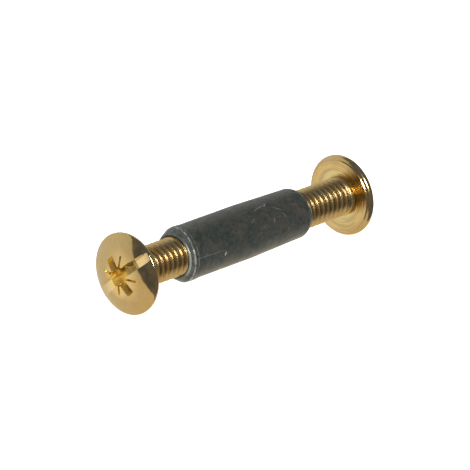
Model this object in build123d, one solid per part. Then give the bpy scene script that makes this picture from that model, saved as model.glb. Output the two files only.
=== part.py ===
from build123d import *
import os
from math import cos, sin, radians, tan

# Spacer sleeve with two cap screws.  Millimetres, sleeve axis along X,
# +Z up, origin on the axis at the middle of the whole length.

# ---- driving dimensions -------------------------------------------------
OVERALL = 49.3            # head to head as the assembly stands
THREAD_MAJOR_R = 2.95     # M6 x 1 thread, crest radius of the screw
BORE_R = 3.00             # radius of the sleeve's bore over the thread roots
SCREW_LENGTH = 15.65      # from the bearing face to the tip
TIP_CHAMFER = 0.7
NECK_R = 2.55             # plain neck left where the thread runs out
NECK_FILLET = 0.41        # hollow fillet from the neck into the bearing face
THREAD_START = 0.55       # full thread starts this far below the bearing face

HEAD_R = 6.11
RIM = 0.90                # edge of the head, from the dome to the bearing face
DOME = 1.65               # height of the dome over the rim
PAD_R = 5.42              # raised flat of the bearing face, stepped down at 45 degrees
PAD_STEP = 0.14
BEVEL_X, BEVEL_R = 0.24, 5.80      # end of the bevel outside the pad
BARREL_X = 0.72           # from here up the edge of the head is straight
EDGE_TOP = 0.15           # rounding of the rim below the dome

SLOT_W = 1.45
SLOT_FLOOR = 1.00         # floor of the slot above the bearing face
SLOT_WIDE = (-0.84, 0.92) # the other half of the slot is coined wider, and its floor rises towards the middle
SLOT_RISE = 0.12          # by this much per millimetre
RECESS_SKEW = -2.5        # the recess is punched slightly askew of the slot
RECESS_R = 3.1            # wing tips of the cross recess at the surface
WING_W = 1.40
WING_FLANK = 2.0          # draft of the wing flanks, degrees
WING_END = 24.0           # lean of the wing ends, degrees
RECESS_DEPTH = 2.15       # from the surface at the wing tips to the floor
RECESS_POINT = 0.45       # drop of the floor at the middle
TICK_W = 0.34             # four narrow ribs of the recess, at 45 degrees
TICK_DEPTH = 1.15

NEAR_ROLL = 40.5          # angle of the near slot, from -Y towards +Z
FAR_ROLL = 113.5          # angle of the far slot, same sense seen from its head

SLEEVE_X0 = -13.27        # near end of the sleeve
SLEEVE_X1 = 12.71         # far end of the sleeve
SLEEVE_R = 4.07           # parallel part
LIP_R = 4.16              # slightly upset shoulder behind the near nose
TAPER_X = 1.0             # the sleeve narrows from here to the far nose
FAR_R = 3.79
NOSE_R = 3.32             # flat ring left at each end
NOSE_LEN = 1.25           # length of the rounded nose
MOUTH_R = 3.12            # bore mouth
MOUTH_LEN = 0.30

X_NEAR = -OVERALL / 2 + RIM + DOME     # bearing face of the near head
X_FAR = OVERALL / 2 - RIM - DOME       # bearing face of the far head


def revolve_profile(edges):
    face = make_face(Wire(edges))
    return revolve(face, Axis.X, 360)


def head_blank():
    """Head and shank about X: bearing face at x = 0, head towards -X."""
    dome_r = (HEAD_R ** 2 + DOME ** 2) / (2 * DOME)
    cx = -(RIM + DOME) + dome_r
    half = 0.5 * (HEAD_R / dome_r)
    apex = (-(RIM + DOME), 0)
    brow = (-RIM, HEAD_R)
    barrel = (-BARREL_X, HEAD_R)
    bevel = (-BEVEL_X, BEVEL_R)
    step = (-PAD_STEP, PAD_R + PAD_STEP)
    pad = (0, PAD_R)
    q = NECK_FILLET
    n0 = (0, NECK_R + q)
    n1 = (q, NECK_R)
    t0 = (THREAD_START, THREAD_MAJOR_R)
    t1 = (SCREW_LENGTH - TIP_CHAMFER, THREAD_MAJOR_R)
    t2 = (SCREW_LENGTH, THREAD_MAJOR_R - TIP_CHAMFER)
    end = (SCREW_LENGTH, 0)
    s = 2 ** -0.5
    edges = [
        ThreePointArc(apex, (cx - dome_r * cos(half), dome_r * sin(half)), brow),
        Line(brow, barrel),
        ThreePointArc(barrel, (-0.433, 6.026), bevel),
        Line(bevel, step),
        Line(step, pad),
        Line(pad, n0),
        ThreePointArc(n0, (q - q * s, NECK_R + q - q * s), n1),
        Line(n1, t0),
        Line(t0, t1),
        Line(t1, t2),
        Line(t2, end),
        Line(end, apex),
    ]
    face = make_face(Wire(edges))

    def rounded(shape, p, radius):
        near_by = shape.vertices().sort_by_distance((p[0], p[1], 0))[:1]
        return fillet(near_by, radius)

    face = rounded(face, pad, 0.05)
    face = rounded(face, brow, EDGE_TOP)
    return revolve(face, Axis.X, 360)


def recess():
    """Cross recess of a head whose bearing face is at x = 0, wings on Y and Z."""
    dome_r = (HEAD_R ** 2 + DOME ** 2) / (2 * DOME)
    surf = -(RIM + DOME) + dome_r - (dome_r ** 2 - RECESS_R ** 2) ** 0.5
    floor = surf + RECESS_DEPTH
    top = -(RIM + DOME) - 1.0                      # well outside the dome
    k = tan(radians(WING_END))
    r_top = RECESS_R + (surf - top) * k
    r_floor = RECESS_R - RECESS_DEPTH * k
    cone = revolve_profile([
        Line((top, 0), (top, r_top)),
        Line((top, r_top), (floor, r_floor)),
        Line((floor, r_floor), (floor + RECESS_POINT, 0)),
        Line((floor + RECESS_POINT, 0), (top, 0)),
    ])
    kf = tan(radians(WING_FLANK))
    depth = floor + RECESS_POINT - top
    half_top = WING_W / 2 + (surf - top) * kf
    half_bot = half_top - depth * kf
    span = 2 * r_top + 2

    def wing(roll):
        out = loft([
            Plane(origin=(top, 0, 0), x_dir=(0, 1, 0), z_dir=(1, 0, 0)) * Rectangle(span, 2 * half_top),
            Plane(origin=(top + depth, 0, 0), x_dir=(0, 1, 0), z_dir=(1, 0, 0)) * Rectangle(span, 2 * half_bot),
        ])
        return Rot(roll, 0, 0) * out

    cross = (wing(0) + wing(90)) & cone
    tick_floor = surf + TICK_DEPTH
    kt = 0.75
    tcone = revolve_profile([
        Line((top, 0), (top, RECESS_R + (surf - top) * kt)),
        Line((top, RECESS_R + (surf - top) * kt), (tick_floor, RECESS_R - TICK_DEPTH * kt)),
        Line((tick_floor, RECESS_R - TICK_DEPTH * kt), (tick_floor, 0)),
        Line((tick_floor, 0), (top, 0)),
    ])
    core = Pos((top + tick_floor) / 2, 0, 0) * Rot(0, 90, 0) * Cylinder(1.45, tick_floor - top)
    ticks = None
    for roll in (45, 135):
        bar = Rot(roll, 0, 0) * (Pos((top + tick_floor) / 2, 0, 0) * Box(tick_floor - top, span, TICK_W))
        ticks = bar if ticks is None else ticks + bar
    return cross + (ticks & tcone) + (core & tcone)


def screw():
    """Screw with its bearing face at x = 0, head towards -X, slot along Y."""
    body = head_blank()
    top = -(RIM + DOME) - 1.0
    reach = HEAD_R + 2
    slot = Pos((top - SLOT_FLOOR) / 2, reach / 2, 0) * Box(-SLOT_FLOOR - top, reach, SLOT_W)
    edge = 5.93                                    # where the floor meets the dome
    at_middle, at_reach = -SLOT_FLOOR - SLOT_RISE * edge, -SLOT_FLOOR + SLOT_RISE * (reach - edge)
    wedge = make_face(Wire([
        Line((top, 0), (at_middle, 0)),
        Line((at_middle, 0), (at_reach, -reach)),
        Line((at_reach, -reach), (top, -reach)),
        Line((top, -reach), (top, 0)),
    ]))
    wide = Pos(0, 0, SLOT_WIDE[0]) * extrude(wedge, SLOT_WIDE[1] - SLOT_WIDE[0], dir=(0, 0, 1))
    return body - slot - wide - Rot(RECESS_SKEW, 0, 0) * recess()


def sleeve():
    x0, x1 = SLEEVE_X0, SLEEVE_X1
    n = NOSE_LEN
    edges = [
        Line((x0, MOUTH_R), (x0, NOSE_R)),
        ThreePointArc((x0, NOSE_R), (x0 + 0.50 * n, NOSE_R + 0.62 * (LIP_R - NOSE_R)), (x0 + n, LIP_R)),
        Line((x0 + n, LIP_R), (x0 + n + 0.5, LIP_R)),
        Line((x0 + n + 0.5, LIP_R), (x0 + n + 1.9, SLEEVE_R)),
        Line((x0 + n + 1.9, SLEEVE_R), (TAPER_X, SLEEVE_R)),
        Line((TAPER_X, SLEEVE_R), (x1 - n, FAR_R)),
        ThreePointArc((x1 - n, FAR_R), (x1 - 0.50 * n, NOSE_R - 0.08 + 0.62 * (FAR_R - NOSE_R + 0.08)), (x1, NOSE_R - 0.08)),
        Line((x1, NOSE_R - 0.08), (x1, MOUTH_R)),
        Line((x1, MOUTH_R), (x1 - MOUTH_LEN, BORE_R)),
        Line((x1 - MOUTH_LEN, BORE_R), (x0 + MOUTH_LEN, BORE_R)),
        Line((x0 + MOUTH_LEN, BORE_R), (x0, MOUTH_R)),
    ]
    return revolve_profile(edges)


near = Pos(X_NEAR, 0, 0) * Rot(180 - NEAR_ROLL, 0, 0) * screw()
far = Pos(X_FAR, 0, 0) * Rot(0, 0, 180) * Rot(180 - FAR_ROLL, 0, 0) * screw()
tube = sleeve()

os.makedirs("parts", exist_ok=True)
for name, shape in (("spacer_sleeve", tube), ("near_screw", near), ("far_screw", far)):
    solids = shape.solids()
    assert len(solids) == 1, (name, len(solids))
    solids[0].label = name
    export_step(solids[0], f"parts/{name}.step")
    bb = solids[0].bounding_box()
    print(name, [round(v, 3) for v in (*bb.min, *bb.max)], "volume", round(solids[0].volume, 1))
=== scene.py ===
"""Looks of the spacer sleeve with its two cap screws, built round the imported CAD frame."""
import math
import bmesh
import bpy
import numpy as np
from mathutils import Matrix, Vector, noise
from mathutils.geometry import delaunay_2d_cdt


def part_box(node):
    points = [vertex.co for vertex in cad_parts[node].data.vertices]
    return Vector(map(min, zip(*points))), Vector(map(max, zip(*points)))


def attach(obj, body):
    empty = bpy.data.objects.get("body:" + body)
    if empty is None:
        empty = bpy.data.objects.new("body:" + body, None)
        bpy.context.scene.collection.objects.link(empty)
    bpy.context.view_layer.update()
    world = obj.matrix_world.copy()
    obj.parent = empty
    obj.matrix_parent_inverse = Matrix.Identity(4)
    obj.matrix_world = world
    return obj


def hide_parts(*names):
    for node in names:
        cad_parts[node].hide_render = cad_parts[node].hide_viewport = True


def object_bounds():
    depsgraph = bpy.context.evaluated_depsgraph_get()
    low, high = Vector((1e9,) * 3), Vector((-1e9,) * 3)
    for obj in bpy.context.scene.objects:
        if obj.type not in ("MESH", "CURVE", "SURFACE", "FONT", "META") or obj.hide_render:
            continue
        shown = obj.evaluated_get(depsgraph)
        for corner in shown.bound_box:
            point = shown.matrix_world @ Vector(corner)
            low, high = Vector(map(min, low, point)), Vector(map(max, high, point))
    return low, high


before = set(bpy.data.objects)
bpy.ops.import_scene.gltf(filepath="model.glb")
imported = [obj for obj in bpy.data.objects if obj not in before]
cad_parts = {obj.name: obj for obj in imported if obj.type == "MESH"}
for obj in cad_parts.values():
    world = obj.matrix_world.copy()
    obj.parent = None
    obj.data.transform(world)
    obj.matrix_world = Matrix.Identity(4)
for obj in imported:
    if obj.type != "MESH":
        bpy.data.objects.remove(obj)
cad_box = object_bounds()
MM = 0.001
PITCH = 1.0               # M6 x 1, right-handed
scene = bpy.context.scene

# ---- places, all from the frame ----------------------------------------
SCREW_LENGTH = 15.65
X_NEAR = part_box("near_screw")[1].x / MM - SCREW_LENGTH      # near bearing face
X_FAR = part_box("far_screw")[0].x / MM + SCREW_LENGTH        # far bearing face
SLEEVE_0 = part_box("spacer_sleeve")[0].x / MM
SLEEVE_1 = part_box("spacer_sleeve")[1].x / MM
FLOOR_Z = cad_box[0].z

NEAR_PHASE = -0.57        # where the thread crests lie along the shank, per screw
FAR_PHASE = -0.70
CREST_R, ROOT_R, NECK_R, NECK_Q = 2.95, 2.345, 2.55, 0.41
HEAD_R, PAD_R, RIM, DOME = 6.11, 5.42, 0.90, 1.65
DOME_R = (HEAD_R ** 2 + DOME ** 2) / (2 * DOME)
SEG = 96


def smooth(a, b, x):
    t = min(1.0, max(0.0, (x - a) / (b - a)))
    return t * t * (3 - 2 * t)


# half profiles from the crest (or groove) centre: share of a pitch, radius
EXT = [(0.0, 2.95), (0.045, 2.948), (0.075, 2.928), (0.105, 2.880), (0.15, 2.799), (0.225, 2.669),
       (0.30, 2.539), (0.35, 2.455), (0.39, 2.402), (0.44, 2.362), (0.5, 2.348)]
INT = [(0.0, 3.02), (0.055, 3.018), (0.085, 2.995), (0.13, 2.916), (0.21, 2.778), (0.29, 2.639),
       (0.36, 2.518), (0.40, 2.468), (0.44, 2.460), (0.5, 2.460)]


def whole(half):
    """The profile over one pitch, from the half given, as sorted (share, radius)."""
    out = [(u, r) for u, r in half] + [(1 - u, r) for u, r in half if 0 < u < 0.5]
    return sorted(out)


class Shell:
    """Vertices in millimetres and faces by index."""

    def __init__(self):
        self.v, self.f, self.tag = [], [], []

    def add(self, p):
        self.v.append(p)
        return len(self.v) - 1

    def face(self, *ids):
        self.f.append(ids)

    def ring(self, x, r, seg=SEG):
        return [self.add((x, r * math.cos(2 * math.pi * j / seg), r * math.sin(2 * math.pi * j / seg)))
                for j in range(seg)]

    def wobbly(self, x, fn, seg):
        out = []
        for j in range(seg):
            a = 2 * math.pi * j / seg
            r = fn(x, a)
            out.append(self.add((x, r * math.cos(a), r * math.sin(a))))
        return out

    def band(self, a, b):
        """Faces between two rings of the same count."""
        n = len(a)
        for j in range(n):
            self.face(a[j], a[(j + 1) % n], b[(j + 1) % n], b[j])

    def zip(self, a, b):
        """Triangles between two closed rings of any counts, both in order of angle."""
        def ang(i):
            return math.atan2(self.v[i][2], self.v[i][1]) % (2 * math.pi)
        a = sorted(a, key=ang)
        b = sorted(b, key=ang)
        ta = [ang(i) for i in a] + [ang(a[0]) + 2 * math.pi]
        tb = [ang(i) for i in b] + [ang(b[0]) + 2 * math.pi]
        i = j = 0
        while i < len(a) or j < len(b):
            if j >= len(b) or (i < len(a) and ta[i + 1] <= tb[j + 1]):
                self.face(a[i % len(a)], a[(i + 1) % len(a)], b[j % len(b)])
                i += 1
            else:
                self.face(b[j % len(b)], a[i % len(a)], b[(j + 1) % len(b)])
                j += 1

    def cap(self, ring, x):
        c = self.add((x, 0.0, 0.0))
        n = len(ring)
        for j in range(n):
            self.face(ring[j], ring[(j + 1) % n], c)

    def helix(self, x0, x1, phase, prof, radius, seg=SEG):
        """A thread between two planes whose grid lines run along the helix. Returns its end rings."""
        m = len(prof)
        cols, tops, ends = [], [], []
        for j in range(seg):
            a = 2 * math.pi * j / seg
            shift = phase + PITCH * j / seg
            first = int(math.floor((x0 - shift) / PITCH)) - 1
            last = int(math.ceil((x1 - shift) / PITCH)) + 1
            col = []
            for n in range(first, last + 1):
                for i, (u, r) in enumerate(prof):
                    x = shift + PITCH * (n + u)
                    if x0 + 0.012 < x < x1 - 0.012:
                        rr = radius(x, r, a)
                        col.append((n * m + i, x, self.add((x, rr * math.cos(a), rr * math.sin(a)))))
            cols.append(col)
            for x, out in ((x0, tops), (x1, ends)):
                u = ((x - shift) / PITCH) % 1.0
                rr = radius(x, prof_at(prof, u), a)
                out.append(self.add((x, rr * math.cos(a), rr * math.sin(a))))
        for j in range(seg):
            k = (j + 1) % seg
            drop = m if k == 0 else 0
            ca = cols[j]
            cb = [(key - drop, x, i) for key, x, i in cols[k]]
            ka = {key: i for key, _, i in ca}
            kb = {key: i for key, _, i in cb}
            lo, hi = max(ca[0][0], cb[0][0]), min(ca[-1][0], cb[-1][0])
            for key in range(lo, hi):
                self.face(ka[key], kb[key], kb[key + 1], ka[key + 1])
            self.fan([tops[j]] + [i for key, _, i in ca if key <= lo], [tops[k]] + [i for key, _, i in cb if key <= lo])
            self.fan([i for key, _, i in ca if key >= hi] + [ends[j]], [i for key, _, i in cb if key >= hi] + [ends[k]])
        return tops, ends

    def fan(self, a, b):
        i = j = 0
        while i < len(a) - 1 or j < len(b) - 1:
            if j >= len(b) - 1 or (i < len(a) - 1 and self.v[a[i + 1]][0] <= self.v[b[j + 1]][0]):
                self.face(a[i], b[j], a[i + 1])
                i += 1
            else:
                self.face(a[i], b[j], b[j + 1])
                j += 1

    def build(self, name, sharp=32.0, place=None, crisp=()):
        """crisp lists (x, r) of rings that are kept as sharp edges."""
        on_ring = [next((k for k, (cx, cr) in enumerate(crisp)
                         if abs(x - cx) < 0.006 and abs(math.hypot(y, z) - cr) < 0.008), -1) for x, y, z in self.v]
        me = bpy.data.meshes.new(name)
        pts = self.v if place is None else [place(p) for p in self.v]
        me.from_pydata([(x * MM, y * MM, z * MM) for x, y, z in pts], [], self.f)
        me.update()
        bm = bmesh.new()
        bm.from_mesh(me)
        bmesh.ops.recalc_face_normals(bm, faces=bm.faces)
        for f in bm.faces:
            f.smooth = True
        for e in bm.edges:
            a, b = (on_ring[v.index] for v in e.verts)
            e.smooth = not ((len(e.link_faces) == 2 and e.calc_face_angle(0.0) > math.radians(sharp)) or (a == b >= 0))
        open_edges = sum(1 for e in bm.edges if len(e.link_faces) != 2)
        bm.to_mesh(me)
        bm.free()
        obj = bpy.data.objects.new(name, me)
        scene.collection.objects.link(obj)
        print(name, "faces", len(me.polygons), "triangles", sum(len(p.vertices) - 2 for p in me.polygons),
              "open edges", open_edges)
        return obj


def prof_at(prof, u):
    for (a, ra), (b, rb) in zip(prof, prof[1:] + [(1.0, prof[0][1])]):
        if a <= u <= b:
            return ra + (rb - ra) * (u - a) / (b - a)
    return prof[0][1]


# ---- screws --------------------------------------------------------------
def inside(points, tris):
    """Which 2-D points lie in any of the triangles."""
    pts = np.asarray(points, float)
    t = np.asarray(tris, float)
    a, b, c = t[:, 0], t[:, 1], t[:, 2]
    det = (b[:, 0] - a[:, 0]) * (c[:, 1] - a[:, 1]) - (c[:, 0] - a[:, 0]) * (b[:, 1] - a[:, 1])
    keep = np.abs(det) > 1e-12
    a, b, c, det = a[keep], b[keep], c[keep], det[keep]
    hit = np.zeros(len(pts), bool)
    for s in range(0, len(pts), 400):
        p = pts[s:s + 400, None, :]
        u = ((p[..., 0] - a[:, 0]) * (c[:, 1] - a[:, 1]) - (c[:, 0] - a[:, 0]) * (p[..., 1] - a[:, 1])) / det
        v = ((b[:, 0] - a[:, 0]) * (p[..., 1] - a[:, 1]) - (p[..., 0] - a[:, 0]) * (b[:, 1] - a[:, 1])) / det
        hit[s:s + 400] = ((u >= -1e-9) & (v >= -1e-9) & (u + v <= 1 + 1e-9)).any(1)
    return hit


def under_relief(r, a, seed):
    """Height of the turned rings on the bearing face, in millimetres towards the tip."""
    h = 0.0045 * math.sin(2 * math.pi * r / 0.36 + seed) + 0.003 * math.sin(2 * math.pi * r / 0.217 + 2.1 * seed)
    return -0.007 + h * smooth(3.2, 3.5, r) * (1 - smooth(5.15, 5.35, r))


def screw_piece(name, node, body, origin, side, phase):
    """side is +1 where the shank runs towards +X from the bearing face at origin, and -1 where it runs towards -X."""
    sh = Shell()
    bm = bmesh.new()
    bm.from_mesh(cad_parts[node].data)
    bmesh.ops.remove_doubles(bm, verts=bm.verts, dist=1e-7)
    # local coordinates: x from the bearing face towards the tip, y and z turned with the half turn of the far screw
    def local(co):
        x, y, z = co.x / MM, co.y / MM, co.z / MM
        return ((x - origin) * side, y * side, z)
    place = lambda p: (origin + p[0] * side, p[1] * side, p[2])
    cx = -(RIM + DOME) + DOME_R
    ids = {}
    dome_tris, dome_edges, dome_faces = [], {}, 0
    loc = {v: local(v.co) for v in bm.verts}
    def vid(v):
        if v not in ids:
            ids[v] = sh.add(loc[v])
        return ids[v]
    for f in bm.faces:
        ps = [loc[v] for v in f.verts]
        deepest, widest = max(p[0] for p in ps), max(math.hypot(p[1], p[2]) for p in ps)
        in_recess = deepest < 1.0 and widest < NECK_R - 0.02
        if (deepest > 1e-4 and not in_recess) or (all(abs(p[0]) < 1e-4 for p in ps) and widest > NECK_R):
            continue
        if all(abs(math.dist(p, (cx, 0, 0)) - DOME_R) < 0.002 for p in ps) and abs(f.normal.x) > 0.8:
            dome_tris.append([(p[1], p[2]) for p in ps])
            for e in f.edges:
                dome_edges[e] = dome_edges.get(e, 0) + 1
            continue
        sh.face(*[vid(v) for v in f.verts])
    # the dome, meshed again as an even net between the same edges
    rim_edges = [e for e, n in dome_edges.items() if n == 1]
    border = sorted({v for e in rim_edges for v in e.verts}, key=lambda v: v.index)
    index = {v: i for i, v in enumerate(border)}
    pts2 = [(loc[v][1], loc[v][2]) for v in border]
    step = 0.21
    grid = []
    rows = int(2 * HEAD_R / (step * 0.866)) + 2
    for r in range(rows):
        for c in range(int(2 * HEAD_R / step) + 2):
            y = -HEAD_R + step * (c + 0.5 * (r % 2))
            z = -HEAD_R + step * 0.866 * r
            if y * y + z * z < (HEAD_R - 0.12) ** 2:
                grid.append((y, z))
    g = np.array(grid)
    g = g[inside(g, dome_tris)]
    seg_a = np.array([pts2[index[e.verts[0]]] for e in rim_edges])
    seg_b = np.array([pts2[index[e.verts[1]]] for e in rim_edges])
    ab = seg_b - seg_a
    t = np.clip(((g[:, None, :] - seg_a) * ab).sum(2) / np.maximum((ab * ab).sum(1), 1e-12), 0, 1)
    d = np.linalg.norm(g[:, None, :] - (seg_a + t[..., None] * ab), axis=2).min(1)
    g = g[d > 0.085]
    every = [Vector(p) for p in pts2] + [Vector(p) for p in g]
    edges = [(index[e.verts[0]], index[e.verts[1]]) for e in rim_edges]
    vo, _, fo, origv, _, _ = delaunay_2d_cdt(every, edges, [], 0, 1e-7)
    cent = [((vo[f[0]][0] + vo[f[1]][0] + vo[f[2]][0]) / 3, (vo[f[0]][1] + vo[f[1]][1] + vo[f[2]][1]) / 3) for f in fo]
    keep = inside(cent, dome_tris)
    out_id = {}
    for i, p in enumerate(vo):
        own = [k for k in origv[i] if k < len(border)]
        if own:
            out_id[i] = vid(border[own[0]])
    for f, k in zip(fo, keep):
        if not k:
            continue
        row = []
        for i in f:
            if i not in out_id:
                y, z = vo[i][0], vo[i][1]
                out_id[i] = sh.add((cx - math.sqrt(DOME_R ** 2 - y * y - z * z), y, z))
            row.append(out_id[i])
        sh.face(*row)
    # bearing face with its turned rings
    heel = [vid(v) for v in bm.verts if v in ids and abs(loc[v][0]) < 1e-4
            and abs(math.hypot(loc[v][1], loc[v][2]) - PAD_R) < 0.05]
    print(node, "border of the bearing face", len(heel))
    bm.free()
    seed = 0.7 if side > 0 else 2.9
    prev = None
    r = PAD_R - 0.08
    while r > NECK_R + NECK_Q + 0.02:
        ring = [sh.add((under_relief(r, 0, seed), r * math.cos(2 * math.pi * j / SEG), r * math.sin(2 * math.pi * j / SEG)))
                for j in range(SEG)]
        if prev is None:
            sh.zip(heel, ring)
        else:
            sh.band(prev, ring)
        prev = ring
        r -= 0.045

    def radius(x, thread, a):
        if x < NECK_Q:
            return NECK_R + NECK_Q - math.sqrt(max(0.0, NECK_Q ** 2 - (NECK_Q - x) ** 2))
        grow = smooth(0.30, 0.62, x)
        rr = NECK_R + (thread - NECK_R) * grow
        return min(rr, CREST_R - 0.70 + (SCREW_LENGTH - x))
    tops, ends = sh.helix(0.0, SCREW_LENGTH, phase, whole(EXT), radius)
    sh.band(prev, tops)
    last = ends
    for x, r in ((SCREW_LENGTH, 2.05), (SCREW_LENGTH - 0.03, 1.75), (SCREW_LENGTH - 0.14, 1.2), (SCREW_LENGTH - 0.18, 0.5)):
        ring = sh.ring(x, r)
        sh.band(last, ring)
        last = ring
    sh.cap(last, SCREW_LENGTH - 0.185)
    # the 45 degree step round the bearing face stays crisp, as it catches the light
    obj = sh.build(name, place=place, crisp=((-0.14, PAD_R + 0.14), (-0.0146, PAD_R + 0.0146)))
    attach(obj, body)
    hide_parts(node)
    return obj


near = screw_piece("near_cap_screw", "near_screw", "near_screw_body", X_NEAR, 1, NEAR_PHASE)
far = screw_piece("far_cap_screw", "far_screw", "far_screw_body", X_FAR, -1, FAR_PHASE)


# ---- sleeve --------------------------------------------------------------
NOSE, LIP_R, BODY_R, FAR_R = 1.25, 4.16, 4.07, 3.79


def arc3(p, q, s, n):
    """n + 1 points on the circle through three points."""
    ax, ay, bx, by, cx_, cy_ = *p, *q, *s
    d = 2 * (ax * (by - cy_) + bx * (cy_ - ay) + cx_ * (ay - by))
    ux = ((ax * ax + ay * ay) * (by - cy_) + (bx * bx + by * by) * (cy_ - ay) + (cx_ * cx_ + cy_ * cy_) * (ay - by)) / d
    uy = ((ax * ax + ay * ay) * (cx_ - bx) + (bx * bx + by * by) * (ax - cx_) + (cx_ * cx_ + cy_ * cy_) * (bx - ax)) / d
    rad = math.hypot(ax - ux, ay - uy)
    a0, a1 = math.atan2(ay - uy, ax - ux), math.atan2(cy_ - uy, cx_ - ux)
    return [(ux + rad * math.cos(a0 + (a1 - a0) * i / n), uy + rad * math.sin(a0 + (a1 - a0) * i / n)) for i in range(n + 1)]


def sleeve_piece():
    sh = Shell()
    seg = 192
    x0, x1 = SLEEVE_0, SLEEVE_1

    def edge_a(a):
        """Where the uneven hand-turned bevel of the near end meets the side."""
        return x0 + 1.07 - 0.65 * math.cos(a - math.radians(176))

    def edge_b(a):
        return x1 - 1.0 + 0.12 * math.cos(a - math.radians(150))

    def ring_of(fn):
        out = []
        for j in range(seg):
            a = 2 * math.pi * j / seg
            x, r = fn(a)
            fade = smooth(x0 + 0.1, x0 + 1.8, x) * (1 - smooth(x1 - 1.8, x1 - 0.1, x))
            p = Vector((x * 0.35, math.cos(a) * 1.4, math.sin(a) * 1.4))
            low = noise.noise(p) * 0.009 + noise.noise(p * 4.1) * 0.004
            r = r + (low - 0.012) * fade + noise.noise(p * 3.0) * 0.012 * (1 - fade) * smooth(3.3, 3.6, r)
            out.append(sh.add((x, r * math.cos(a), r * math.sin(a))))
        return out

    def lerp(a, b, t):
        return a + (b - a) * t

    rows = []
    # mouth and its small rounded rim, then the bevel, then the shoulder
    rows.append(lambda a: (x0 + 0.05, 3.125))
    rows.append(lambda a: (x0 + 0.01, 3.17))
    for t in (0.0, 0.17, 0.34, 0.5, 0.67, 0.84, 1.0):
        w = math.radians(58 * t)
        rows.append(lambda a, w=w: (x0 + 0.24 - 0.24 * math.cos(w), 3.205 + 0.27 * math.sin(w)))
    for i in range(1, 9):
        t = i / 8
        rows.append(lambda a, t=t: (lerp(x0 + 0.15, edge_a(a) - 0.05, t), lerp(3.455, 4.065, t) + 0.02 * math.sin(math.pi * t)))
    rows.append(lambda a: (edge_a(a) - 0.012, 4.092))
    rows.append(lambda a: (edge_a(a) + 0.03, 4.108))
    rows.append(lambda a: (edge_a(a) + 0.09, 4.114))
    xs = x0 + 2.1
    for i in range(1, 15):
        t = i / 14
        dip = {4: -0.006, 5: -0.02, 6: -0.006}.get(i, 0.0)
        rows.append(lambda a, t=t, dip=dip: (lerp(edge_a(a) + 0.09, xs, t), lerp(4.116, 4.150, smooth(0, 0.6, t)) + dip))
    x = xs + 0.12
    stop = x1 - 1.5
    while x < stop - 0.05:
        if x < x0 + NOSE + 1.9:
            r = min(4.150, LIP_R + (BODY_R - LIP_R) * (x - x0 - NOSE - 0.5) / 1.4)
        elif x < 1.0:
            r = BODY_R
        else:
            r = BODY_R + (FAR_R - BODY_R) * (x - 1.0) / (x1 - NOSE - 1.0)
        rows.append(lambda a, x=x, r=r: (x, r))
        x += 0.16
    r_end = BODY_R + (FAR_R - BODY_R) * (stop - 1.0) / (x1 - NOSE - 1.0)
    for i in range(0, 5):
        t = i / 4
        rows.append(lambda a, t=t: (lerp(stop, edge_b(a) - 0.06, t), lerp(r_end, FAR_R - 0.005, t)))
    rows.append(lambda a: (edge_b(a), FAR_R - 0.025))
    rows.append(lambda a: (edge_b(a) + 0.05, FAR_R - 0.055))
    for i in range(1, 9):
        t = i / 8
        rows.append(lambda a, t=t: (lerp(edge_b(a) + 0.05, x1 - 0.14, t), lerp(FAR_R - 0.055, 3.34, t) + 0.05 * math.sin(math.pi * t)))
    for t in (0.0, 0.25, 0.5, 0.75, 1.0):
        w = math.radians(60 - 60 * t)
        rows.append(lambda a, w=w: (x1 - 0.11 + 0.11 * math.cos(w), 3.235 + 0.11 * math.sin(w)))
    rows.append(lambda a: (x1 - 0.05, 3.125))
    rings = [ring_of(fn) for fn in rows]
    for a, b in zip(rings, rings[1:]):
        sh.band(a, b)

    def bore(xe, sgn):
        def radius(x, thread, a):
            return max(thread, 3.10 - (x - xe) * sgn)
        return radius
    mid = 0.12
    a0, a1 = sh.helix(x0 + 0.07, -mid, X_NEAR + NEAR_PHASE, whole(INT), bore(x0 + 0.07, 1))
    b0, b1 = sh.helix(mid, x1 - 0.07, X_FAR - FAR_PHASE - 0.5 * PITCH, whole(INT), bore(x1 - 0.07, -1))
    sh.band(a1, b0)
    sh.zip(rings[0], a0)
    sh.zip(rings[-1], b1)
    obj = sh.build("threaded_sleeve", sharp=40.0)
    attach(obj, "sleeve")
    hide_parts("spacer_sleeve")
    return obj


tube = sleeve_piece()


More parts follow.
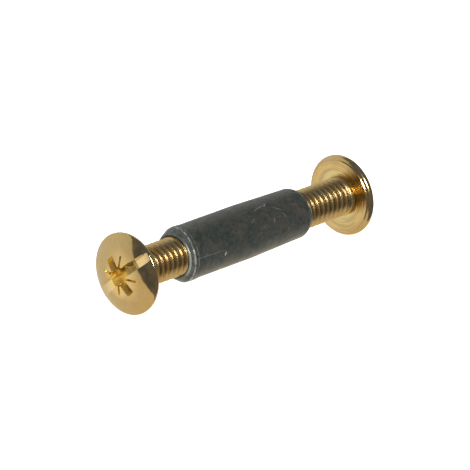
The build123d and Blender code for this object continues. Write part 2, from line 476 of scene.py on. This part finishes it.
# ---- materials -----------------------------------------------------------
class Mat:
    """A short way to write node trees."""

    def __init__(self, name):
        self.m = bpy.data.materials.new(name)
        self.m.use_nodes = True
        self.nt = self.m.node_tree
        self.nt.nodes.clear()
        self.out = self.node("ShaderNodeOutputMaterial")
        self.p = self.node("ShaderNodeBsdfPrincipled")
        self.link(self.p.outputs[0], self.out.inputs[0])
        tc = self.node("ShaderNodeTexCoord")
        mp = self.node("ShaderNodeMapping")
        mp.inputs["Scale"].default_value = (1000, 1000, 1000)
        self.link(tc.outputs["Object"], mp.inputs[0])
        self.mm = mp.outputs[0]                      # object coordinates in millimetres

    def node(self, kind, **kw):
        n = self.nt.nodes.new(kind)
        for k, v in kw.items():
            setattr(n, k, v)
        return n

    def link(self, a, b):
        self.nt.links.new(a, b)

    def feed(self, socket, v):
        if isinstance(v, (int, float)):
            socket.default_value = v
        elif isinstance(v, tuple):
            socket.default_value = v if len(v) == len(socket.default_value) else (*v, 1.0)
        else:
            self.link(v, socket)

    def math(self, op, a, b=0.0, c=0.0, clamp=False):
        n = self.node("ShaderNodeMath", operation=op, use_clamp=clamp)
        for s, v in zip(n.inputs, (a, b, c)):
            self.feed(s, v)
        return n.outputs[0]

    def noise(self, scale, detail=2.0, rough=0.5, vec=None, out="Fac", stretch=None, distort=0.0):
        v = self.mm if vec is None else vec
        if stretch:
            mp = self.node("ShaderNodeMapping")
            mp.inputs["Scale"].default_value = stretch
            self.link(v, mp.inputs[0])
            v = mp.outputs[0]
        n = self.node("ShaderNodeTexNoise")
        n.inputs["Scale"].default_value = scale
        n.inputs["Detail"].default_value = detail
        n.inputs["Roughness"].default_value = rough
        n.inputs["Distortion"].default_value = distort
        self.link(v, n.inputs["Vector"])
        return n.outputs[out]

    def ramp(self, v, stops, mode="LINEAR"):
        n = self.node("ShaderNodeValToRGB")
        n.color_ramp.interpolation = mode
        els = n.color_ramp.elements
        while len(els) > 1:
            els.remove(els[-1])
        els[0].position, els[0].color = stops[0][0], (*stops[0][1], 1.0)
        for p, c in stops[1:]:
            e = els.new(p)
            e.color = (*c, 1.0)
        self.link(v, n.inputs[0])
        return n.outputs[0]

    def grade(self, v, a, b, lo=0.0, hi=1.0):
        n = self.node("ShaderNodeMapRange", clamp=True)
        self.link(v, n.inputs[0])
        n.inputs[1].default_value, n.inputs[2].default_value = a, b
        n.inputs[3].default_value, n.inputs[4].default_value = lo, hi
        return n.outputs[0]

    def mixf(self, fac, a, b):
        n = self.node("ShaderNodeMix", data_type="FLOAT")
        for s, v in zip(n.inputs[:1] + n.inputs[2:4], (fac, a, b)):
            self.feed(s, v)
        return n.outputs[0]

    def mix(self, fac, a, b, mode="MIX"):
        n = self.node("ShaderNodeMix", data_type="RGBA", blend_type=mode)
        self.feed(n.inputs[0], fac)
        self.feed(n.inputs[6], a)
        self.feed(n.inputs[7], b)
        return n.outputs[2]

    def bump(self, height, distance_mm, strength=1.0, normal=None):
        n = self.node("ShaderNodeBump")
        n.inputs["Strength"].default_value = strength
        n.inputs["Distance"].default_value = distance_mm * MM
        self.link(height, n.inputs["Height"])
        if normal is not None:
            self.link(normal, n.inputs["Normal"])
        return n.outputs[0]

    def xyz(self):
        n = self.node("ShaderNodeSeparateXYZ")
        self.link(self.mm, n.inputs[0])
        return n.outputs[0], n.outputs[1], n.outputs[2]


def brass(name, seed, face, side, shaded_wing_dir):
    m = Mat(name)
    x, y, z = m.xyz()
    depth = m.math("MULTIPLY", m.math("SUBTRACT", x, face), float(side))     # from the bearing face towards the tip
    r2 = m.math("ADD", m.math("MULTIPLY", y, y), m.math("MULTIPLY", z, z))
    r = m.math("SQRT", r2)
    off = m.math("SUBTRACT", depth, DOME_R - RIM - DOME)
    ball = m.math("SQRT", m.math("ADD", m.math("MULTIPLY", off, off), r2))
    dome = m.grade(m.math("ABSOLUTE", m.math("SUBTRACT", ball, DOME_R)), 0.008, 0.020, 1.0, 0.0)
    pit = m.math("MULTIPLY", m.grade(depth, 0.47, 0.50, 1.0, 0.0), m.grade(r, 2.47, 2.52, 1.0, 0.0))      # bottom of the recess
    shank = m.math("MULTIPLY", m.grade(depth, 0.02, 0.12), m.math("SUBTRACT", 1.0, pit))
    pad = m.math("MULTIPLY", m.grade(m.math("ABSOLUTE", depth), 0.02, 0.05, 1.0, 0.0), m.grade(r, 2.9, 3.0))
    heel = m.math("MULTIPLY", m.grade(depth, -0.80, -0.70), m.grade(r, 5.36, 5.44))
    shifted = m.node("ShaderNodeMapping")
    shifted.inputs["Location"].default_value = (seed, seed * 1.7, -seed)
    m.link(m.mm, shifted.inputs[0])
    v = shifted.outputs[0]
    low = m.noise(0.42, 3.0, 0.55, v)
    tint = m.ramp(low, [(0.32, (0.82, 0.54, 0.23)), (0.44, (0.77, 0.575, 0.235)), (0.56, (0.81, 0.565, 0.25)), (0.68, (0.75, 0.60, 0.32))])
    mid = m.noise(1.7, 4.0, 0.65, v)
    tint = m.mix(m.grade(mid, 0.40, 0.68, 0.0, 0.5), tint, (0.68, 0.465, 0.18))
    # cut faces are cleaner than the passivated dome
    cutmask = m.math("MULTIPLY", m.math("SUBTRACT", 1.0, dome), m.grade(depth, -0.5, -1.0))
    wings = m.math("MULTIPLY", m.math("SUBTRACT", 1.0, dome), m.math("MULTIPLY", m.grade(r, 3.10, 3.22, 1.0, 0.0), m.grade(depth, 0.47, 0.50, 1.0, 0.0)))
    wings = m.math("MULTIPLY", wings, m.math("SUBTRACT", 1.0, shank))
    tint = m.mix(m.math("MULTIPLY", cutmask, 0.8), tint, (0.92, 0.70, 0.36))
    # painted light and shade: the recess gets a brighter, more saturated gold than the head, darker towards its bottom
    recess_shaded_gold = m.mix(m.grade(depth, -2.1, -0.6), (1.0, 0.79, 0.235), (0.90, 0.62, 0.13))
    tint = m.mix(wings, tint, recess_shaded_gold)
    # painted shade: the recess is darkened at its bottom and in the wing that lies in one half of the slot
    ey, ez = shaded_wing_dir
    along = m.math("ADD", m.math("MULTIPLY", y, ey), m.math("MULTIPLY", z, ez))
    recess_shade = m.math("MULTIPLY", m.math("MULTIPLY", wings, m.grade(along, 0.70, 0.95)), m.grade(depth, -2.1, -1.7))
    across = m.math("ABSOLUTE", m.math("SUBTRACT", m.math("MULTIPLY", y, ez), m.math("MULTIPLY", z, ey)))
    recess_shade = m.math("MULTIPLY", recess_shade, m.grade(across, 0.90, 1.0, 0.85, 0.0))
    recess_shade = m.math("MAXIMUM", recess_shade, m.math("MULTIPLY", wings, m.math("MULTIPLY", m.grade(depth, -0.7, -0.15), m.grade(along, -1.3, -0.5, 0.1, 1.0))))
    tint = m.mix(m.math("MULTIPLY", recess_shade, 0.80), tint, (0.20, 0.17, 0.10))
    # painted shade: the thread roots are darkened
    root = m.math("MULTIPLY", shank, m.grade(r, 2.42, 2.80, 1.0, 0.0))
    tint = m.mix(m.math("MULTIPLY", root, 0.50 if side > 0 else 0.62), tint, (0.16, 0.10, 0.04))
    m.feed(m.p.inputs["Metallic"], m.grade(wings, 0.0, 1.0, 1.0, 0.90))
    polish = m.grade(m.noise(1.3, 4.0, 0.6, v), 0.3, 0.75, 0.05, 0.09)
    cut = m.grade(m.noise(1.7, 4.0, 0.6, v), 0.3, 0.75, 0.24, 0.33)
    coined = m.grade(m.noise(1.9, 4.0, 0.6, v), 0.3, 0.75, 0.10, 0.17)
    rough = m.mixf(shank, coined, cut)
    rough = m.mixf(wings, rough, m.grade(m.noise(2.6, 3.0, 0.6, v), 0.35, 0.65, 0.28, 0.37))
    rough = m.mixf(dome, rough, polish)
    rough = m.mixf(pad, rough, m.grade(r, 3.0, 4.4, 0.12, 0.24))
    rough = m.mixf(heel, rough, 0.16)
    m.feed(m.p.inputs["Roughness"], rough)
    wave = m.bump(m.noise(0.7, 2.5, 0.5, v), 0.045, 0.35)
    fine = m.bump(m.math("MULTIPLY", m.noise(9.0, 3.0, 0.6, v), m.math("SUBTRACT", 1.0, wings)), 0.003, 0.35, wave)
    # turning marks on the bearing face: rings of uneven depth
    vec = m.node("ShaderNodeCombineXYZ")
    m.feed(vec.inputs[0], r)
    m.feed(vec.inputs[1], float(seed))
    m.feed(vec.inputs[2], 0.5)
    rings = m.noise(5.5, 3.0, 0.65, vec.outputs[0])
    turned = m.bump(m.math("MULTIPLY", rings, pad), 0.018, 0.7, fine)
    arc = m.node("ShaderNodeCombineXYZ")
    m.feed(arc.inputs[0], m.math("MULTIPLY_ADD", r, 2.1, float(seed)))
    m.feed(arc.inputs[1], m.math("DIVIDE", y, r))
    m.feed(arc.inputs[2], m.math("DIVIDE", z, r))
    arcs = m.noise(1.0, 2.5, 0.5, arc.outputs[0])
    # painted reflection: the bearing face is paler and yellower near the shank, where the lit thread shows in it
    tint = m.mix(m.math("MULTIPLY", pad, m.grade(r, 3.4, 4.8, 0.75, 0.0)), tint, (0.88, 0.72, 0.34))
    swept = m.bump(m.math("MULTIPLY", arcs, pad), 0.060, 0.8, turned)
    m.link(swept, m.p.inputs["Normal"])
    tone = m.grade(arcs, 0.36, 0.66, 0.50, 0.0)
    tone = m.math("MAXIMUM", tone, m.grade(rings, 0.35, 0.6, 0.30, 0.0))
    tint = m.mix(m.math("MULTIPLY", tone, pad), tint, (0.36, 0.25, 0.115))
    m.feed(m.p.inputs["Base Color"], tint)
    return m.m


def steel(name):
    m = Mat(name)
    x, y, z = m.xyz()
    r = m.math("SQRT", m.math("ADD", m.math("MULTIPLY", y, y), m.math("MULTIPLY", z, z)))
    s = m.math("MULTIPLY", m.math("ARCTAN2", z, m.math("MULTIPLY", y, -1.0)), 4.09)      # round the sleeve, from its -Y side

    def mask(a, b):
        return m.math("MULTIPLY", a, b)

    low = m.noise(0.50, 4.0, 0.62)
    tint = m.ramp(low, [(0.36, (0.029, 0.036, 0.029)), (0.5, (0.043, 0.046, 0.037)), (0.63, (0.058, 0.050, 0.038))])
    spots = m.noise(1.9, 4.0, 0.65)
    tint = m.mix(m.grade(spots, 0.46, 0.66, 0.0, 0.75), tint, (0.014, 0.019, 0.017))
    pale = m.noise(1.15, 5.0, 0.7, stretch=(0.7, 1.3, 1.0), distort=0.6)
    tint = m.mix(m.grade(pale, 0.56, 0.72, 0.0, 0.55), tint, (0.090, 0.094, 0.080))
    # turned nose: cleaner metal; the two rings behind it and one at the far bevel are pale, partly wear and partly
    # painted highlight lines
    x0, x1 = SLEEVE_0, SLEEVE_1
    swing = m.math("DIVIDE", m.math("ADD", m.math("MULTIPLY", y, -0.9976), m.math("MULTIPLY", z, 0.0698)), r)
    ex = m.math("MULTIPLY_ADD", swing, -0.65, x0 + 1.07)
    behind = m.math("SUBTRACT", x, ex)
    nose = m.grade(behind, -0.12, 0.0, 1.0, 0.0)
    swing_b = m.math("DIVIDE", m.math("ADD", m.math("MULTIPLY", y, -0.866), m.math("MULTIPLY", z, 0.5)), r)
    ahead = m.math("SUBTRACT", x, m.math("MULTIPLY_ADD", swing_b, 0.12, x1 - 1.0))
    nose = m.math("MAXIMUM", nose, m.grade(ahead, 0.0, 0.1, 0.0, 0.25))
    tint = m.mix(mask(nose, 0.75), tint, m.mix(m.grade(spots, 0.4, 0.62), (0.094, 0.103, 0.088), (0.044, 0.050, 0.043)))
    breaks = m.grade(m.noise(1.6, 4.0, 0.6), 0.36, 0.56)
    ring_a = mask(m.grade(m.math("ABSOLUTE", behind), 0.045, 0.13, 1.0, 0.0), breaks)
    xb = m.math("MULTIPLY_ADD", ex, 0.643, 0.643 * 0.09 + 0.357 * (x0 + 2.1))
    ring_b = mask(m.grade(m.math("ABSOLUTE", m.math("SUBTRACT", x, xb)), 0.03, 0.11, 0.34, 0.0), breaks)
    ring_c = mask(m.grade(m.math("ABSOLUTE", ahead), 0.04, 0.12, 0.26, 0.0), breaks)
    wear_and_glint = m.math("MAXIMUM", ring_a, m.math("MAXIMUM", ring_b, ring_c))
    # painted highlight: the mouth's lip is lighter on its -Y side, where the key light glints
    tip = mask(m.grade(r, 3.44, 3.52, 1.0, 0.0), m.grade(m.math("ABSOLUTE", m.math("SUBTRACT", x, 0.5 * (x0 + x1))), 12.6, 12.75))
    lip_glint = m.grade(swing, 0.62, 0.97, 0.06, 0.85)
    wear_and_glint = m.math("MAXIMUM", wear_and_glint, mask(tip, lip_glint))

    # handling marks, each with its own place: along, round, angle, length, width, strength, bow
    def mark(cx, cs, ang, length, width, level, bow=0.0):
        dx, ds = m.math("SUBTRACT", x, cx), m.math("SUBTRACT", s, cs)
        ca, sa = math.cos(math.radians(ang)), math.sin(math.radians(ang))
        u = m.math("ADD", m.math("MULTIPLY", dx, ca), m.math("MULTIPLY", ds, sa))
        w = m.math("SUBTRACT", m.math("MULTIPLY", ds, ca), m.math("MULTIPLY", dx, sa))
        if bow:
            w = m.math("SUBTRACT", w, m.math("MULTIPLY", m.math("MULTIPLY", u, u), bow))
        across = m.grade(m.math("ABSOLUTE", w), width * 0.25, width, level, 0.0)
        return mask(across, m.grade(m.math("ABSOLUTE", u), length * 0.3, length * 0.5, 1.0, 0.0))

    marks = None
    for row in ((-6.57, -0.33, 62, 0.62, 0.13, 1.0), (-9.9, 0.36, -2, 6.6, 0.07, 0.17, 0.004), (2.7, 4.62, 12, 2.8, 0.09, 0.25, -0.06),
                (4.2, 4.75, 38, 0.9, 0.16, 0.27), (5.9, 3.45, -36, 2.2, 0.08, 0.22, 0.05), (4.3, 1.9, 70, 0.8, 0.14, 0.20),
                (7.05, -0.2, 80, 0.8, 0.09, 0.25), (6.6, 2.2, -58, 1.2, 0.07, 0.22), (0.2, 2.9, 24, 1.4, 0.06, 0.16),
                (-3.5, 9.1, 8, 3.0, 0.07, 0.20, 0.03), (3.1, -5.0, -20, 2.4, 0.07, 0.20), (-7.8, -9.4, 50, 1.3, 0.10, 0.24),
                (6.5, 11.0, -12, 2.0, 0.08, 0.22), (-1.2, -11.2, 30, 1.8, 0.07, 0.20)):
        one = mark(*row)
        marks = one if marks is None else m.math("MAXIMUM", marks, one)
    run = m.node("ShaderNodeCombineXYZ")
    m.feed(run.inputs[0], m.math("MULTIPLY", x, 0.28))
    m.feed(run.inputs[1], m.math("MULTIPLY", s, 5.5))
    m.feed(run.inputs[2], 2.0)
    hair = m.grade(m.noise(1.0, 2.0, 0.5, run.outputs[0]), 0.68, 0.80, 0.0, 0.11)
    marks = m.math("MAXIMUM", marks, hair)
    # the pale rings, the lip's painted highlight and the handling marks lighten the colour
    tint = m.mix(m.math("MAXIMUM", mask(wear_and_glint, 0.62), marks, clamp=True), tint, (0.50, 0.53, 0.49))
    m.feed(m.p.inputs["Base Color"], tint)
    m.feed(m.p.inputs["Metallic"], m.math("MULTIPLY_ADD", m.math("MAXIMUM", wear_and_glint, marks), 0.25, 0.15, clamp=True))
    rough = m.grade(m.noise(1.2, 4.0, 0.6), 0.3, 0.75, 0.30, 0.46)
    rough = m.mixf(m.math("MAXIMUM", wear_and_glint, mask(nose, 0.6)), rough, 0.27)
    m.feed(m.p.inputs["Roughness"], rough)
    grain = m.bump(m.noise(5.0, 4.0, 0.65), 0.006, 0.6)
    pits = m.bump(m.noise(1.6, 3.0, 0.55), 0.02, 0.45, grain)
    cuts = m.bump(m.math("SUBTRACT", 1.0, marks), 0.012, 0.6, pits)
    m.link(cuts, m.p.inputs["Normal"])
    return m.m


near.data.materials.append(brass("bright_brass_near", 3.0, X_NEAR, 1, (-0.7604, 0.6494)))
far.data.materials.append(brass("bright_brass_far", 11.0, X_FAR, -1, (-0.3987, 0.9171)))
tube.data.materials.append(steel("dark_steel_sleeve"))


# ---- stage ---------------------------------------------------------------
def plane(name, centre, normal, sx, sy, mat):
    bm = bmesh.new()
    bmesh.ops.create_grid(bm, x_segments=1, y_segments=1, size=0.5)
    me = bpy.data.meshes.new(name)
    bm.to_mesh(me)
    bm.free()
    o = bpy.data.objects.new(name, me)
    scene.collection.objects.link(o)
    q = Vector(normal).normalized().to_track_quat("Z", "Y")
    o.matrix_world = Matrix.Translation(Vector(centre)) @ q.to_matrix().to_4x4() @ Matrix.Diagonal((sx, sy, 1, 1))
    me.materials.append(mat)
    return o


fm = Mat("pale_floor")
m_noise = fm.noise(0.02, 2.0, 0.5)
fm.feed(fm.p.inputs["Base Color"], fm.ramp(m_noise, [(0.3, (0.78, 0.78, 0.78)), (0.7, (0.80, 0.80, 0.80))]))
fm.feed(fm.p.inputs["Roughness"], 0.9)
fm.feed(fm.p.inputs["Specular IOR Level"], 0.1)
fm.feed(fm.p.inputs["Emission Color"], (1.0, 1.0, 1.0))
fm.feed(fm.p.inputs["Emission Strength"], 0.85)
floor = plane("floor", (0, 0, FLOOR_Z), (0, 0, 1), 6.0, 6.0, fm.m)
floor.visible_glossy = False


def area(name, at, size, power, colour=(1, 1, 1), target=(0, 0, 0)):
    li = bpy.data.lights.new(name, "AREA")
    li.shape = "RECTANGLE"
    li.size, li.size_y = size if isinstance(size, tuple) else (size, size)
    li.energy = power
    li.color = colour
    o = bpy.data.objects.new(name, li)
    scene.collection.objects.link(o)
    at = Vector(at)
    o.location = at
    o.rotation_mode = "QUATERNION"
    o.rotation_quaternion = (Vector(target) - at).to_track_quat("-Z", "Y")
    return o


top = area("soft_top", (0.0, 0.0, 0.9), 2.2, 16.0)
top.visible_glossy = False
key = area("key_front", Vector((-0.66, -0.62, 0.43)) * 0.9, 0.30, 6.0, (1.0, 0.98, 0.94))

# The room: a bright sheet behind and below the work, and a dim room on the camera's side of it.
world = bpy.data.worlds.new("studio")
scene.world = world
world.use_nodes = True
wn = world.node_tree
wn.nodes.clear()


def wnode(kind, **kw):
    n = wn.nodes.new(kind)
    for k, v in kw.items():
        setattr(n, k, v)
    return n


def wdot(direction):
    n = wnode("ShaderNodeVectorMath", operation="DOT_PRODUCT")
    wn.links.new(tc.outputs["Generated"], n.inputs[0])
    n.inputs[1].default_value = Vector(direction).normalized()
    return n.outputs["Value"]


def wrange(v, a, b, lo, hi):
    n = wnode("ShaderNodeMapRange", interpolation_type="SMOOTHSTEP", clamp=True)
    wn.links.new(v, n.inputs[0])
    for i, x in enumerate((a, b, lo, hi)):
        n.inputs[i + 1].default_value = x
    return n.outputs[0]


def wmix(fac, a, b, mode="MIX"):
    n = wnode("ShaderNodeMix", data_type="RGBA", blend_type=mode)
    for socket, v in ((n.inputs[0], fac), (n.inputs[6], a), (n.inputs[7], b)):
        if isinstance(v, tuple):
            socket.default_value = (*v, 1.0)
        elif isinstance(v, float):
            socket.default_value = v
        else:
            wn.links.new(v, socket)
    return n.outputs[2]


def direction(az, el):
    a, e = math.radians(az), math.radians(el)
    return (math.cos(a) * math.cos(e), math.sin(a) * math.cos(e), math.sin(e))


tc = wnode("ShaderNodeTexCoord")
sheet_side = wrange(wdot((-0.152, -0.849, 0.507)), -0.080, -0.035, 0.0, 1.0)
upness = wrange(wdot((0, 0, 1)), -0.6, 0.6, 0.0, 1.0)
paper = wmix(upness, (0.64, 0.585, 0.50), (0.53, 0.545, 0.54))
glow = wrange(wdot(direction(139, -18)), 0.86, 1.0, 0.0, 1.0)
paper = wmix(glow, paper, (0.98, 0.94, 0.88))
glow_low = wrange(wdot(direction(122, -27)), 0.955, 0.993, 0.0, 1.0)
paper = wmix(glow_low, paper, (1.32, 1.19, 0.92))
room = wmix(upness, (0.085, 0.092, 0.13), (0.085, 0.098, 0.15))
blur = wnode("ShaderNodeTexNoise")
wn.links.new(tc.outputs["Generated"], blur.inputs["Vector"])
blur.inputs["Scale"].default_value = 3.5
blur.inputs["Detail"].default_value = 2.0
room = wmix(wrange(blur.outputs["Fac"], 0.42, 0.66, 0.0, 0.6), room, (0.20, 0.19, 0.19))
low = wrange(wdot(direction(43, -40)), 0.78, 1.0, 0.0, 1.0)
paper = wmix(low, paper, (1.15, 1.0, 0.78))
side = wrange(wdot(direction(96, -4)), 0.45, 1.0, 0.0, 0.8)
paper = wmix(side, paper, (0.66, 0.67, 0.68))
bg = wnode("ShaderNodeBackground")
wn.links.new(wmix(sheet_side, paper, room), bg.inputs[0])
bg.inputs[1].default_value = 1.0
wo = wnode("ShaderNodeOutputWorld")
wn.links.new(bg.outputs[0], wo.inputs[0])

# ---- camera --------------------------------------------------------------
cam_data = bpy.data.cameras.new("camera")
cam = bpy.data.objects.new("camera", cam_data)
scene.collection.objects.link(cam)
fwd = Vector((0.6851, 0.6424, -0.3435)).normalized()
right = fwd.cross(Vector((0, 0, 1))).normalized()
up = right.cross(fwd)
cam.matrix_world = Matrix((
    (right.x, up.x, -fwd.x, -0.61227),
    (right.y, up.y, -fwd.y, -0.57380),
    (right.z, up.z, -fwd.z, 0.30668),
    (0, 0, 0, 1)))
cam_data.sensor_width = 36.0
cam_data.lens = 471.7
cam_data.clip_start, cam_data.clip_end = 0.05, 20.0
scene.camera = cam
scene.view_settings.view_transform = "Standard"
